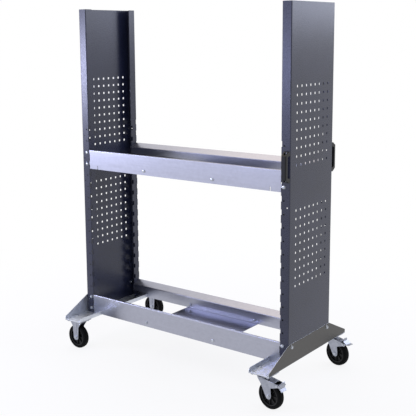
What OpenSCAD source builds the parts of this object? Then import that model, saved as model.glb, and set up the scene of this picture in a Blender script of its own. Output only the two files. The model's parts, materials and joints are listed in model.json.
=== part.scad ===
// Tyre trolley: two perforated side panels on feet with casters, joined by four
// folded rails that carry the tyres on two tiers.
// X runs across the trolley, the swivel casters and the handles are at +X, -Y is the front.

/* [Frame] */
// Width over the outer faces of the two side panels
frame_w = 1250; // [900:10:1600]
// Height of a side panel
panel_h = 1595; // [1350:5:1900]
// Depth of a side panel, front to back
panel_d = 374; // [340:2:450]
// Width of the panel's front and rear flanges
flange_w = 47; // [44:1:60]
// Depth of the lips that stiffen the flanges
lip_d = 45; // [30:1:50]
// Sheet thickness of the panels
panel_t = 2; // [1.5:0.25:3]
// Bend radius at the middle of the sheet
bend_r = 3; // [2.5:0.5:4]

/* [Perforation] */
// Side of a square perforation
perf_size = 10; // [6:0.5:14]
// Distance between perforations, both ways
perf_pitch = 38; // [30:1:40]
// Perforations in a row
perf_cols = 8; // [2:1:9]
// Rows in each of the two fields
perf_rows = 10; // [2:1:12]
// From the panel's top to the first row
perf_top = 357; // [200:1:400]
// From the last row of the upper field to the first of the lower
field_gap = 200; // [60:1:260]

/* [Flange holes] */
// Distance between the holes up a flange
hole_pitch = 60; // [50:1:70]
// Holes up a flange
hole_rows = 17; // [16:1:20]
// From the panel's lower edge to the lowest hole
hole_first = 24; // [20:1:30]
// From the panel's outer face to the holes
hole_in = 31; // [28:1:33]
// Diameter of the holes
hole_d = 8.5; // [8.2:0.1:10]
// Height of the hook slots in the inner bends
slot_h = 26; // [22:1:32]
// How far a slot's middle lies above its hole
slot_up = 8; // [5:1:10]
// How far a slot reaches into the lip
slot_d = 12; // [8:1:16]
// How far a slot reaches into the flange
slot_flange = 5; // [3:0.5:6]
// Height of the notches in the lip's free edge
notch_h = 23; // [14:1:26]
// Depth of these notches
notch_d = 12; // [6:1:14]

/* [Rails] */
// Height of a rail's outer plate
rail_h = 98; // [90:1:120]
// Sheet thickness of the rails
rail_t = 2; // [1.5:0.25:2.5]
// From the outer face of a rail to the face of its inner lip
seat_run = 51; // [40:1:60]
// Slope of the seat that the tyres lie on
seat_slope = 22; // [10:1:30]
// Height of the inner lip
seat_lip = 34; // [20:1:40]
// Hole rows between the lower and the upper rails
tier_rows = 13; // [8:1:14]
// Height of a hook below its hole
hook_down = 12; // [9:1:14]
// Height of a hook above its hole
hook_up = 13; // [9:1:14]
// How far a hook reaches past the edge of the panel's lip
hook_reach = 27; // [25:1:30]

/* [Cross trays] */
// Length of a tray along the rails
tray_w = 452; // [300:2:600]
// Distance between the two bolts of a tray edge
tray_bolt_gap = 417; // [200:1:430]
// Height of the bolts above a rail's lower edge
tray_bolt_z = 20; // [16:1:26]
// Height of a tray's edges
tray_edge = 40; // [30:1:60]
// Sheet thickness of the trays
tray_t = 2; // [1:0.25:2.5]

/* [Feet] */
// Length of a foot, front to back
foot_l = 700; // [620:5:900]
// Width of a foot
foot_w = 105; // [105:1:130]
// Sheet thickness of the feet
foot_t = 2; // [1.5:0.25:3]
// Height of the outer plate over its middle
foot_h = 96; // [90:1:130]
// Height of the outer plate at its ends
foot_end_h = 18; // [12:1:24]
// Height of the inner edge
foot_edge = 20; // [12:1:28]
// Height of the bolts to the panel above the foot's underside
foot_bolt_z = 80; // [60:1:82]
// From the panel's front and rear faces to these bolts
foot_bolt_in = 25; // [20:1:30]

/* [Push handles] */
// From a handle's screw to its end
grip_end = 8; // [7:0.5:14]
// Width of a handle
grip_w = 26; // [18:1:27]
// How far a handle stands out
grip_out = 36; // [32:1:50]
// Thickness of the bar
grip_bar = 16; // [10:1:18]
// From the panel's outer face to the handle's middle
grip_in = 14; // [14:0.5:16]
// First hole of a handle, in hole rows above the lowest
grip_row = 13.5; // [11.5:1:13.5]

/* [Casters] */
// Height of a caster
caster_h = 155; // [150:1:170]
// Diameter of a wheel
wheel_d = 125; // [100:1:130]
// Width of the tyre
tyre_w = 32; // [26:1:34]
// Diameter of the wheel's core
core_d = 94; // [70:1:98]
// Length of a top plate, across the foot
plate_l = 105; // [96:1:105]
// Width of a top plate
plate_w = 85; // [76:1:90]
// Thickness of a top plate
plate_t = 3; // [2:0.5:4]
// Bolt spacing across the foot
bolt_x = 80; // [76:1:82]
// Bolt spacing along the foot
bolt_y = 60; // [60:1:66]
// Diameter of the bolt holes
plate_hole_d = 9; // [8.5:0.1:10]
// Gap between a caster's two legs
leg_gap = 38; // [37:0.5:38.5]
// Sheet thickness of the legs
leg_t = 2.5; // [2:0.25:3]
// Trail of the swivel casters
trail = 42; // [36:1:44]
// Turn of the front swivel caster
front_turn = -7; // [-20:1:20]
// Turn of the rear swivel caster
rear_turn = -11; // [-20:1:20]
// Travel of a brake pedal
pedal_travel = 45; // [20:1:50]
// Width of a brake pedal
pedal_w = 36; // [30:1:36]
// Balls in a swivel bearing
ball_count = 16; // [8:1:20]
// Diameter of a ball
ball_d = 6; // [5:0.5:6.5]

/* [Fasteners] */
// Thread diameter of the bolts
bolt_d = 8; // [6:0.5:8]
// Width across flats of heads and nuts
bolt_af = 13; // [11:0.5:13]
// Height of a bolt head
head_h = 5.3; // [4:0.1:6]
// Height of a nut
nut_h = 6.5; // [5:0.1:7]
// Thread that shows past a nut
thread_out = 2; // [1:0.5:3]
// Thread diameter of the handle screws
screw_d = 6; // [5:0.5:6]

/* [Fits] */
// Radial running clearance of wheels, pins and bearings
run_gap = 0.05; // [0.02:0.01:0.1]
// Side clearance between moving faces
face_gap = 0.5; // [0.3:0.05:0.8]
// Clearance of the hooks in their slots and of the rails between the panels
hook_gap = 0.5; // [0.3:0.1:1]

/* [Hidden] */
$fn = 32;

// Steps in the arc of a fold, and a length by which cutters run past a face
bend_steps = 4;
past = 1;

// Corner cuts of the hooks, the feet's outer plates and the handles
hook_cut = 4;
foot_corner = 4;
grip_cut = 5;

// Finishes
panel_colour = "#474c58";
zinc_colour = "#b9bdcb";
foot_colour = "#8e929b";
steel_colour = "#d5d8de";
black_colour = "#17181a";
race_colour = "#26292c";
tyre_colour = "#1b1b1c";

// Heights of the frame
foot_z = caster_h;
panel_z = foot_z + foot_t;
hole_z = panel_z + hole_first;
lower_rail_z = panel_z;
upper_rail_z = panel_z + tier_rows * hole_pitch;

// Places across the trolley, from the middle between the panels
web_x = frame_w / 2;
lip_x = web_x - flange_w;
rail_half = lip_x - hook_gap;
hole_x = web_x - hole_in;
foot_x = web_x + foot_t;
foot_bend = foot_t / 2;

// A handle's screws sit two hole rows apart, in lugs with counterbores
grip_screws = 2 * hole_pitch;
grip_l = grip_screws + 2 * grip_end;
grip_z = hole_z + (grip_row + 1) * hole_pitch;
lug_t = 10;
screw_seat = 8;
screw_hole_d = screw_d + 0.5;
screw_head_d = 10.5;
screw_head_h = 4.5;
screw_af = 10;
screw_nut_h = 5;

// Collar under the bolt heads
collar_t = 1.5;
collar_ratio = 1.25;

// Places of the feet and casters
caster_x = foot_x - foot_w / 2;
caster_y = (foot_l - plate_w) / 2;

// Heights and places in a caster, measured from the floor and from its swivel axis
wheel_r = wheel_d / 2;
plate_z = caster_h - plate_t;
leg_in = leg_gap / 2;
leg_out = leg_in + leg_t;
hub_half = leg_in - face_gap;
tube_r = 6;
bolt_r = bolt_d / 2;
race_top = 4;
ball_gap = 0.15;
ball_z = plate_z - race_top - ball_gap - ball_d / 2;
crown_z = ball_z - ball_d / 2 - ball_gap;
crown_t = 2.5;
crown_r = 30;
neck_r = 20.5;
neck_t = 2.5;
king_r = 6;
king_head_h = 4.5;
ball_ring_r = 22;
skirt_r = 27.5;
skirt_t = 1.5;
roof_z = crown_z - 5.5;

// A wheel's core and tyre: boss, web, rim with its step, ribs and rounded shoulders
boss_r = 15;
web_half = 4;
rim_t = 6;
rim_step = 2;
core_ribs = 8;
core_rib_t = 3;
rib_in = 3;
shoulder_r = 8;

// A rigid bracket's legs, and the rib that is pressed into each
leg_half = 41;
waist_half = 20;
waist_drop = 34;
rigid_end_r = 16.5;
rib_half = 8;
rib_foot_half = 5;
rib_taper = 4;
rib_top = plate_z - 4;
rib_foot_z = wheel_r + 22;
rib_t = 1;

// Rear end of a fork's roof, its round end at the axle, and the fall of the roof line
fork_back = 20;
fork_end_r = 14.5;
roof_fall = 2;
arm_fall = 5;

// The brake pedal's pivot, and the tyre's clearance when the brake is on
pivot = [trail + 46, wheel_r + 57.5];
pin_r = 3.5;
pin_head_h = 2;
cam_gap = 0.5;
cam_half = 18;
cheek_r = 7.5;

// The pedal's two folded plates when the brake is on, from its pivot, with their widths
pedal_t = 2.5;
pedal_bend = 2;
toe_w = 20;
toe = [21.6, 20.8];
heel = [13, 11];
knee = [15, -10];
tread = [24.5, -20.5];
pedal_plates = [[[toe, heel, knee], toe_w], [[heel, knee, tread], pedal_w]];

// Reach of a swivel caster to the right of its swivel axis, with its pedal lifted
function pedal_reach(turn, lift) = max([
    for (plate = pedal_plates, p = fold(plate[0], pedal_t, pedal_bend))
        (pivot.x + turned(p, lift).x) * cos(turn) + plate[1] / 2 * abs(sin(turn))
]);
reach_right = max(pedal_reach(front_turn, 0), pedal_reach(rear_turn, pedal_travel),
                  trail + wheel_r);

// X of the frame's middle: the box round the whole trolley is centred on the origin
left_edge = -max(caster_x + wheel_r, foot_x);
right_edge = caster_x + reach_right;
frame_x = -(left_edge + right_edge) / 2;

// A point turned about the origin
function turned(p, a) = [p.x * cos(a) - p.y * sin(a), p.x * sin(a) + p.y * cos(a)];

// Points of an arc
function arc(c, r, a0, a1, n) = [
    for (i = [0 : n]) c + r * [cos(a0 + (a1 - a0) * i / n), sin(a0 + (a1 - a0) * i / n)]
];

function unit(v) = v / norm(v);
function left_of(v) = [-v.y, v.x];
function bend_angle(a, b) = atan2(a.x * b.y - a.y * b.x, a * b);
function reversed(v) = [for (i = [len(v) - 1 : -1 : 0]) v[i]];

// One face of a folded sheet whose middle follows pts; side is 1 on the left, -1 on the right;
// where the bend radius is half the sheet, the inside of the bend is one sharp corner
function fold_face(pts, t, r, side) = [
    for (i = [0 : len(pts) - 1])
        let (
            a = i > 0 ? unit(pts[i] - pts[i - 1]) : unit(pts[1] - pts[0]),
            b = i < len(pts) - 1 ? unit(pts[i + 1] - pts[i]) : a,
            w = bend_angle(a, b),
            s = sign(w),
            face_r = r - s * side * t / 2,
            c = pts[i] - a * r * tan(abs(w) / 2) + left_of(a) * s * r
        )
        for (k = [0 : s == 0 || face_r == 0 ? 0 : bend_steps])
            s == 0
                ? pts[i] + left_of(a) * side * t / 2
                : c - face_r * s * turned(left_of(a), w * k / bend_steps)
];

// Outline of a folded sheet
function fold(pts, t, r) = concat(fold_face(pts, t, r, 1), reversed(fold_face(pts, t, r, -1)));

// A folded sheet drawn in the YZ plane and run along X, centred
module fold_along_x(pts, t, r, length) {
    rotate([90, 0, 90])
        linear_extrude(height = length, center = true)
            polygon(fold(pts, t, r));
}

// A flat plate drawn in the XZ plane, from y0 towards +Y
module plate_xz(pts, y0, t) {
    translate([0, y0 + t, 0])
        rotate([90, 0, 0])
            linear_extrude(height = t)
                polygon(pts);
}

// Places its children once as they are and once mirrored
module both(axis) {
    children();
    mirror(axis) children();
}

// Hexagonal bolt along +Z whose head ends at z = 0, with a flange under the head
module hex_bolt(d, af, head, length) {
    translate([0, 0, -head]) cylinder(d = af / cos(30), h = head, $fn = 6);
    translate([0, 0, -collar_t]) cylinder(d = af * collar_ratio, h = collar_t);
    translate([0, 0, -head / 2]) cylinder(d = d, h = length + head / 2);
}

// Hexagonal nut that starts at z = 0
module hex_nut(d, af, h) {
    difference() {
        cylinder(d = af / cos(30), h = h, $fn = 6);
        translate([0, 0, -past]) cylinder(d = d + 2 * run_gap, h = h + 2 * past);
    }
}

// Side panel on the left, from its outer face towards +X
module panel_shape() {
    mid = panel_t / 2;
    y_mid = panel_d / 2 - mid;
    lip_y = panel_d / 2 - lip_d;
    outline = [
        [flange_w - mid, -lip_y], [flange_w - mid, -y_mid], [mid, -y_mid],
        [mid, y_mid], [flange_w - mid, y_mid], [flange_w - mid, lip_y]
    ];
    difference() {
        linear_extrude(height = panel_h) polygon(fold(outline, panel_t, bend_r));
        perforation_cuts();
        flange_cuts();
        both([0, 1, 0])
            translate([-past, panel_d / 2 - foot_bolt_in, foot_z + foot_bolt_z - panel_z])
                rotate([0, 90, 0])
                    cylinder(d = hole_d, h = panel_t + 2 * past);
    }
}

// Square perforations through the panel's web, in two fields
module perforation_cuts() {
    for (field = [0, 1], row = [0 : perf_rows - 1], col = [0 : perf_cols - 1]) {
        drop = field * ((perf_rows - 1) * perf_pitch + field_gap) + row * perf_pitch;
        y = (col - (perf_cols - 1) / 2) * perf_pitch;
        translate([-past, y - perf_size / 2, panel_h - perf_top - drop - perf_size / 2])
            cube([panel_t + 2 * past, perf_size, perf_size]);
    }
}

// Holes, hook slots and lip notches of both flanges
module flange_cuts() {
    for (row = [0 : hole_rows - 1]) {
        z = hole_first + row * hole_pitch;
        cross_hole(hole_in, z, hole_d);
        both([0, 1, 0]) {
            translate([flange_w - slot_flange, panel_d / 2 - slot_d, z + slot_up - slot_h / 2])
                cube([slot_flange + past, slot_d + past, slot_h]);
            if (row > 0)
                translate([flange_w - panel_t - past, panel_d / 2 - lip_d - past,
                           z + slot_up - hole_pitch / 2 - notch_h / 2])
                    cube([panel_t + 2 * past, notch_d + past, notch_h]);
        }
    }
    for (row = [grip_row - 2 : 2 : grip_row + 2])
        cross_hole(grip_in, hole_first + row * hole_pitch, screw_hole_d);
}

// A hole along Y through both flanges
module cross_hole(x, z, d) {
    translate([x, panel_d / 2 + past, z])
        rotate([90, 0, 0])
            cylinder(d = d, h = panel_d + 2 * past);
}

module side_panel(side) {
    color(panel_colour)
        translate([frame_x - side * web_x, 0, panel_z])
            mirror([side < 0 ? 1 : 0, 0, 0])
                panel_shape();
}

// Rail with its outer plate at -Y and its lower edge at z = 0
module rail_shape() {
    mid = rail_t / 2;
    plate_y = -panel_d / 2 + panel_t;
    ridge_z = rail_h - (bend_r + mid) + bend_r * tan((90 + seat_slope) / 2);
    run = seat_run - rail_t;
    brow_z = ridge_z - run * tan(seat_slope);
    outline = [
        [plate_y + mid, 0], [plate_y + mid, ridge_z],
        [plate_y + mid + run, brow_z], [plate_y + mid + run, brow_z - seat_lip]
    ];
    difference() {
        union() {
            fold_along_x(outline, rail_t, bend_r, 2 * rail_half);
            both([1, 0, 0])
                for (row = [0, 1])
                    hook(plate_y, hole_z - panel_z + row * hole_pitch);
        }
        both([1, 0, 0]) {
            translate([hole_x, plate_y - past, hole_z - panel_z]) y_hole(hole_d, rail_t);
            translate([hole_x, plate_y - past, hole_z - panel_z + hole_pitch])
                y_hole(hole_d, rail_t);
            translate([tray_bolt_gap / 2, plate_y - past, tray_bolt_z]) y_hole(hole_d, rail_t);
            translate([foot_x - foot_w - hook_gap * 2, plate_y - past, -past])
                cube([foot_t + 4 * hook_gap, rail_t + 2 * past,
                      foot_edge - foot_t + 2 * hook_gap + past]);
        }
    }
}

// A hole along +Y through a sheet
module y_hole(d, t) {
    rotate([-90, 0, 0]) cylinder(d = d, h = t + 2 * past);
}

// One hook of a rail: its neck passes the slot, its nose drops behind the flange
module hook(y, z) {
    root = rail_half - 2 * rail_t;
    neck_end = lip_x + panel_t / 2 + bend_r + hook_gap;
    nose_end = lip_x + hook_reach;
    neck_low = z + slot_up - slot_h / 2 + hook_gap;
    low = z - hook_down;
    high = z + hook_up;
    plate_xz([
        [root, neck_low], [neck_end, neck_low], [neck_end, low], [nose_end - hook_cut, low],
        [nose_end, low + hook_cut], [nose_end, high - hook_cut], [nose_end - hook_cut, high],
        [root, high]
    ], y, rail_t);
}

// Rail of a tier; side is -1 at the front and 1 at the rear
module rail(side, z) {
    color(zinc_colour)
        translate([frame_x, 0, z])
            mirror([0, side > 0 ? 1 : 0, 0])
                rail_shape();
}

module cross_tray(z) {
    mid = tray_t / 2;
    y_mid = panel_d / 2 - panel_t - rail_t - mid;
    outline = [[-y_mid, tray_edge], [-y_mid, mid], [y_mid, mid], [y_mid, tray_edge]];
    color(zinc_colour)
        translate([frame_x, 0, z])
            difference() {
                fold_along_x(outline, tray_t, bend_r, tray_w);
                both([1, 0, 0])
                    both([0, 1, 0])
                        translate([tray_bolt_gap / 2, -y_mid - mid - past, tray_bolt_z])
                            y_hole(hole_d, tray_t);
            }
}

// Foot on the left, from its outer face towards +X, its underside at z = 0
module foot_shape() {
    mid = foot_t / 2;
    half = foot_l / 2;
    flat = panel_d / 2 - panel_t;
    outline = [[mid, foot_h], [mid, mid], [foot_w - mid, mid], [foot_w - mid, foot_edge]];
    edge_r = foot_edge * 0.75;
    corner = [half - foot_corner, foot_end_h - foot_corner];
    outer_plate = concat(
        [[-half, -past], [half, -past]],
        arc(corner, foot_corner, 0, 60, 3),
        [[flat, foot_h], [-flat, foot_h]],
        arc([-corner.x, corner.y], foot_corner, 120, 180, 3)
    );
    inner_edge = concat(
        [[-half, -past], [half, -past]],
        arc([half - edge_r, foot_edge - edge_r], edge_r, 0, 90, 6),
        arc([-half + edge_r, foot_edge - edge_r], edge_r, 90, 180, 6)
    );
    difference() {
        intersection() {
            rotate([90, 0, 0])
                linear_extrude(height = foot_l, center = true)
                    polygon(fold(outline, foot_t, foot_bend));
            union() {
                rotate([90, 0, 90]) linear_extrude(height = foot_w / 2) polygon(outer_plate);
                translate([foot_w / 2, 0, 0])
                    rotate([90, 0, 90])
                        linear_extrude(height = foot_w / 2 + past)
                            polygon(inner_edge);
            }
        }
        both([0, 1, 0]) {
            translate([-past, panel_d / 2 - foot_bolt_in, foot_bolt_z])
                rotate([0, 90, 0])
                    cylinder(d = hole_d, h = foot_t + 2 * past);
            translate([foot_w / 2, caster_y, -past])
                four_holes(foot_t + 2 * past);
        }
    }
}

// The four holes of a caster plate
module four_holes(h) {
    for (x = [-bolt_x / 2, bolt_x / 2], y = [-bolt_y / 2, bolt_y / 2])
        translate([x, y, 0]) cylinder(d = plate_hole_d, h = h);
}

module foot(side) {
    color(foot_colour)
        translate([frame_x - side * foot_x, 0, foot_z])
            mirror([side < 0 ? 1 : 0, 0, 0])
                foot_shape();
}

// Push handle in front of the right panel's front flange; side is -1 front, 1 rear
module push_handle(side) {
    half = grip_l / 2;
    reach = grip_out - grip_bar;
    bar_half = half - grip_out / 2;
    gap_half = grip_screws / 2 - screw_head_d;
    gap_cut = 6;
    edge = grip_w / 2;
    outline = [
        [0, -half], [lug_t, -half], [grip_out, -bar_half], [grip_out, bar_half],
        [lug_t, half], [0, half], [0, gap_half], [reach - gap_cut, gap_half - gap_cut / 3],
        [reach, gap_half - gap_cut], [reach, gap_cut - gap_half],
        [reach - gap_cut, gap_cut / 3 - gap_half], [0, -gap_half]
    ];
    section = [
        [-edge, 0], [edge, 0], [edge, grip_out - grip_cut], [edge - grip_cut, grip_out],
        [grip_cut - edge, grip_out], [-edge, grip_out - grip_cut]
    ];
    color(black_colour)
        translate([frame_x + web_x - grip_in, 0, grip_z])
            mirror([0, side > 0 ? 1 : 0, 0])
                translate([0, -panel_d / 2, 0])
                    difference() {
                        intersection() {
                            rotate([90, 0, -90])
                                linear_extrude(height = grip_w + 2 * past, center = true)
                                    polygon(outline);
                            mirror([0, 1, 0])
                                linear_extrude(height = grip_l + 2 * past, center = true)
                                    polygon(section);
                        }
                        both([0, 0, 1])
                            translate([0, 0, grip_screws / 2])
                                rotate([90, 0, 0]) {
                                    translate([0, 0, -past])
                                        cylinder(d = screw_hole_d, h = grip_out);
                                    translate([0, 0, screw_seat])
                                        cylinder(d = screw_head_d + 2 * face_gap, h = grip_out);
                                }
                    }
}

// Places its children at each bolt of the rails, with +Z into the panel
module at_rail_bolts() {
    for (x = [-hole_x, hole_x], side = [-1, 1], row = [0, 1, tier_rows, tier_rows + 1])
        translate([frame_x + x, side * panel_d / 2, hole_z + row * hole_pitch])
            rotate([side * 90, 0, 0])
                children();
}

module rail_bolts() {
    color(steel_colour)
        at_rail_bolts()
            hex_bolt(bolt_d, bolt_af, head_h, panel_t + rail_t + nut_h + thread_out);
}

module rail_nuts() {
    color(steel_colour)
        at_rail_bolts()
            translate([0, 0, panel_t + rail_t]) hex_nut(bolt_d, bolt_af, nut_h);
}

// Places its children at each bolt of the trays, with +Z inwards
module at_tray_bolts() {
    for (x = [-1, 1], side = [-1, 1], z = [lower_rail_z, upper_rail_z])
        translate([frame_x + x * tray_bolt_gap / 2, side * (panel_d / 2 - panel_t),
                   z + tray_bolt_z])
            rotate([side * 90, 0, 0])
                children();
}

module tray_bolts() {
    color(steel_colour)
        at_tray_bolts()
            hex_bolt(bolt_d, bolt_af, head_h, rail_t + tray_t + nut_h + thread_out);
}

module tray_nuts() {
    color(steel_colour)
        at_tray_bolts()
            translate([0, 0, rail_t + tray_t]) hex_nut(bolt_d, bolt_af, nut_h);
}

// Places its children at each bolt of the feet, with +Z towards the trolley's middle
module at_foot_bolts() {
    for (side = [-1, 1], y = [-1, 1])
        translate([frame_x + side * foot_x, y * (panel_d / 2 - foot_bolt_in),
                   foot_z + foot_bolt_z])
            rotate([0, -side * 90, 0])
                children();
}

module foot_bolts() {
    color(steel_colour)
        at_foot_bolts()
            hex_bolt(bolt_d, bolt_af, head_h, foot_t + panel_t + nut_h + thread_out);
}

module foot_nuts() {
    color(steel_colour)
        at_foot_bolts()
            translate([0, 0, foot_t + panel_t]) hex_nut(bolt_d, bolt_af, nut_h);
}

// Places its children at each screw of the handles, with +Z into the panel
module at_handle_screws() {
    for (side = [-1, 1], z = [-1, 1])
        translate([frame_x + web_x - grip_in, side * panel_d / 2, grip_z + z * grip_screws / 2])
            rotate([side * 90, 0, 0])
                children();
}

module handle_screws() {
    color(steel_colour)
        at_handle_screws()
            translate([0, 0, -screw_seat]) {
                translate([0, 0, -screw_head_h]) cylinder(d = screw_head_d, h = screw_head_h);
                translate([0, 0, -screw_head_h / 2])
                    cylinder(d = screw_d, h = screw_head_h / 2 + screw_seat + panel_t
                                              + screw_nut_h + thread_out);
            }
}

module handle_nuts() {
    color(steel_colour)
        at_handle_screws()
            translate([0, 0, panel_t]) hex_nut(screw_d, screw_af, screw_nut_h);
}

// Places its children at each caster bolt, with +Z down from the foot's upper face
module at_caster_bolts() {
    for (side = [-1, 1], end = [-1, 1],
         x = [-bolt_x / 2, bolt_x / 2], y = [-bolt_y / 2, bolt_y / 2])
        translate([frame_x + side * caster_x + x, end * caster_y + y, panel_z])
            rotate([180, 0, 0])
                children();
}

module caster_bolts() {
    color(steel_colour)
        at_caster_bolts()
            hex_bolt(bolt_d, bolt_af, head_h, foot_t + plate_t + nut_h + thread_out);
}

module caster_nuts() {
    color(steel_colour)
        at_caster_bolts()
            translate([0, 0, foot_t + plate_t]) hex_nut(bolt_d, bolt_af, nut_h);
}

// Moves a caster that stands at the origin to its place under the frame
module at_caster(side, end, turn) {
    translate([frame_x + side * caster_x, end * caster_y, 0])
        rotate([0, 0, turn])
            children();
}

// Plate with its four holes, at the top of a caster
module top_plate() {
    difference() {
        translate([-plate_l / 2, -plate_w / 2, plate_z]) cube([plate_l, plate_w, plate_t]);
        translate([0, 0, plate_z - past]) four_holes(plate_t + 2 * past);
    }
}

// Outline of a leg of a rigid bracket: wide at the plate, round at the axle
function rigid_leg() = concat(
    [[leg_half, plate_z + plate_t / 2], [leg_half, plate_z - 2 * plate_t],
     [waist_half, plate_z - waist_drop]],
    arc([0, wheel_r], rigid_end_r, 0, -180, 12),
    [[-waist_half, plate_z - waist_drop], [-leg_half, plate_z - 2 * plate_t],
     [-leg_half, plate_z + plate_t / 2]]
);

// Outline of the rib that is pressed into each leg of a rigid bracket
function rigid_rib() = [
    [-rib_half, rib_top - rib_taper], [-rib_foot_half, rib_top],
    [rib_foot_half, rib_top], [rib_half, rib_top - rib_taper],
    [rib_foot_half, rib_foot_z], [-rib_foot_half, rib_foot_z]
];

module rigid_bracket() {
    color(zinc_colour)
        difference() {
            union() {
                top_plate();
                both([0, 1, 0]) {
                    plate_xz(rigid_leg(), leg_in, leg_t);
                    plate_xz(rigid_rib(), leg_out - rib_t / 2, 1.5 * rib_t);
                }
            }
            axle_hole(0);
        }
}

// Hole for the axle bolt through both legs, at distance d from the swivel axis
module axle_hole(d) {
    translate([d, leg_out + past, wheel_r])
        rotate([90, 0, 0])
            cylinder(r = bolt_r + run_gap, h = 2 * (leg_out + past));
}

// Parts of a wheel's axle and the wheel, at distance d from the swivel axis
module axle_bolt(d) {
    color(steel_colour)
        translate([d, -leg_out, wheel_r])
            rotate([-90, 0, 0])
                hex_bolt(bolt_d, bolt_af, head_h, 2 * leg_out + nut_h + thread_out);
}

module axle_nut(d) {
    color(steel_colour)
        translate([d, leg_out, wheel_r])
            rotate([-90, 0, 0])
                hex_nut(bolt_d, bolt_af, nut_h);
}

module axle_tube(d) {
    color(steel_colour)
        translate([d, leg_in, wheel_r])
            rotate([90, 0, 0])
                difference() {
                    cylinder(r = tube_r, h = leg_gap);
                    translate([0, 0, -past]) cylinder(r = bolt_r + run_gap, h = leg_gap + 2 * past);
                }
}

// Moulded core: boss, ribbed web and rim
module wheel_core(d) {
    bore = tube_r + run_gap;
    rim = core_d / 2;
    rim_in = rim - rim_t;
    rim_half = tyre_w / 2 - rim_step;
    profile = [
        [bore, -hub_half], [boss_r, -hub_half], [boss_r + 1.5, -web_half - 1],
        [rim_in - 1, -web_half], [rim_in, -rim_half], [rim, -rim_half], [rim, rim_half],
        [rim_in, rim_half], [rim_in - 1, web_half], [boss_r + 1.5, web_half + 1],
        [boss_r, hub_half], [bore, hub_half]
    ];
    color(black_colour)
        translate([d, 0, wheel_r])
            rotate([90, 0, 0])
                union() {
                    rotate_extrude($fn = 64) polygon(profile);
                    for (i = [0 : core_ribs - 1])
                        rotate([0, 0, i * 360 / core_ribs])
                            translate([boss_r, -core_rib_t / 2, rib_in - rim_half])
                                cube([rim_in - boss_r, core_rib_t, 2 * (rim_half - rib_in)]);
                }
}

// Solid rubber tyre with rounded shoulders
module tyre(d) {
    half = tyre_w / 2;
    seat = core_d / 2 + run_gap;
    wall = half - rim_step;
    profile = concat(
        [[seat, -wall], [seat + 1.5 * rim_step, -half]],
        arc([wheel_r - shoulder_r, shoulder_r - half], shoulder_r, -90, 0, 6),
        arc([wheel_r - shoulder_r, half - shoulder_r], shoulder_r, 0, 90, 6),
        [[seat + 1.5 * rim_step, half], [seat, wall]]
    );
    color(tyre_colour)
        translate([d, 0, wheel_r])
            rotate([90, 0, 0])
                rotate_extrude($fn = 96) polygon(profile);
}

// Top plate of a swivel caster, with the hole for its king pin
module swivel_plate() {
    color(zinc_colour)
        difference() {
            top_plate();
            translate([0, 0, plate_z - past]) cylinder(r = king_r + run_gap, h = plate_t + 2 * past);
        }
}

// Upper race under the plate, with the skirt that covers the balls
module swivel_race() {
    bore = king_r + run_gap;
    skirt_in = skirt_r - skirt_t;
    skirt_z = crown_z + face_gap;
    color(race_colour)
        rotate_extrude($fn = 64)
            polygon([
                [bore, plate_z], [bore, plate_z - race_top], [skirt_in, plate_z - race_top],
                [skirt_in, skirt_z], [skirt_r, skirt_z], [skirt_r, plate_z]
            ]);
}

module swivel_balls() {
    color(steel_colour)
        for (i = [0 : ball_count - 1])
            rotate([0, 0, i * 360 / ball_count])
                translate([ball_ring_r, 0, ball_z])
                    sphere(d = ball_d, $fn = 20);
}

// Riveted king pin that carries the fork's crown
module king_pin() {
    head_z = crown_z - crown_t - ball_gap;
    head_r = 2 * king_r;
    color(steel_colour)
        rotate_extrude($fn = 48)
            polygon([
                [0, plate_z + plate_t], [king_r, plate_z + plate_t], [king_r, head_z],
                [head_r, head_z], [head_r, head_z - king_head_h / 2],
                [head_r - 2, head_z - king_head_h], [0, head_z - king_head_h]
            ]);
}

// Outline of a leg of the fork: roof line, brake arm, and the leg down to the axle
function fork_leg() = concat(
    [[-fork_back, roof_z], [trail - 4, roof_z - roof_fall]],
    arc(pivot + [11.5, 1.5], 5, 80, -110, 8),
    [[trail + 12, wheel_r + 38.5], [trail + 15.2, wheel_r + 6]],
    arc([trail, wheel_r], fork_end_r, 0, -148, 10),
    [[-1, wheel_r + 47.5], [2 - fork_back, roof_z - 6]]
);

// The fork's roof from the side: level under the crown, then falling to the brake arm
function fork_roof() = [
    [-fork_back, roof_z], [-fork_back, roof_z - leg_t], [trail - 4, roof_z - roof_fall - leg_t],
    [pivot.x - 15, roof_z - arm_fall - leg_t], [pivot.x - 15, roof_z - arm_fall],
    [trail - 4, roof_z - roof_fall]
];

module fork() {
    color(zinc_colour)
        difference() {
            union() {
                translate([0, 0, crown_z - crown_t]) cylinder(r = crown_r, h = crown_t, $fn = 64);
                translate([0, 0, roof_z - leg_t / 2])
                    cylinder(r = neck_r, h = crown_z - crown_t / 2 - roof_z + leg_t / 2, $fn = 64);
                plate_xz(fork_roof(), leg_t / 2 - leg_out, 2 * leg_out - leg_t);
                both([0, 1, 0]) plate_xz(fork_leg(), leg_in, leg_t);
            }
            translate([0, 0, crown_z - crown_t - past])
                cylinder(r = king_r + run_gap, h = crown_t + 2 * past);
            translate([0, 0, roof_z - leg_t - past])
                cylinder(r = neck_r - neck_t, h = crown_z - crown_t - roof_z + leg_t + past,
                         $fn = 64);
            axle_hole(trail);
            translate([pivot.x, leg_out + past, pivot.y])
                rotate([90, 0, 0])
                    cylinder(r = pin_r + run_gap, h = 2 * (leg_out + past));
        }
}

// Riveted pin on which the brake pedal turns
module pedal_pin() {
    color(steel_colour)
        translate([pivot.x, 0, pivot.y])
            rotate([90, 0, 0]) {
                cylinder(r = pin_r, h = 2 * leg_out + pin_head_h, center = true);
                both([0, 0, 1])
                    translate([0, 0, leg_out]) cylinder(r = pin_r + 2, h = pin_head_h);
            }
}

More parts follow.
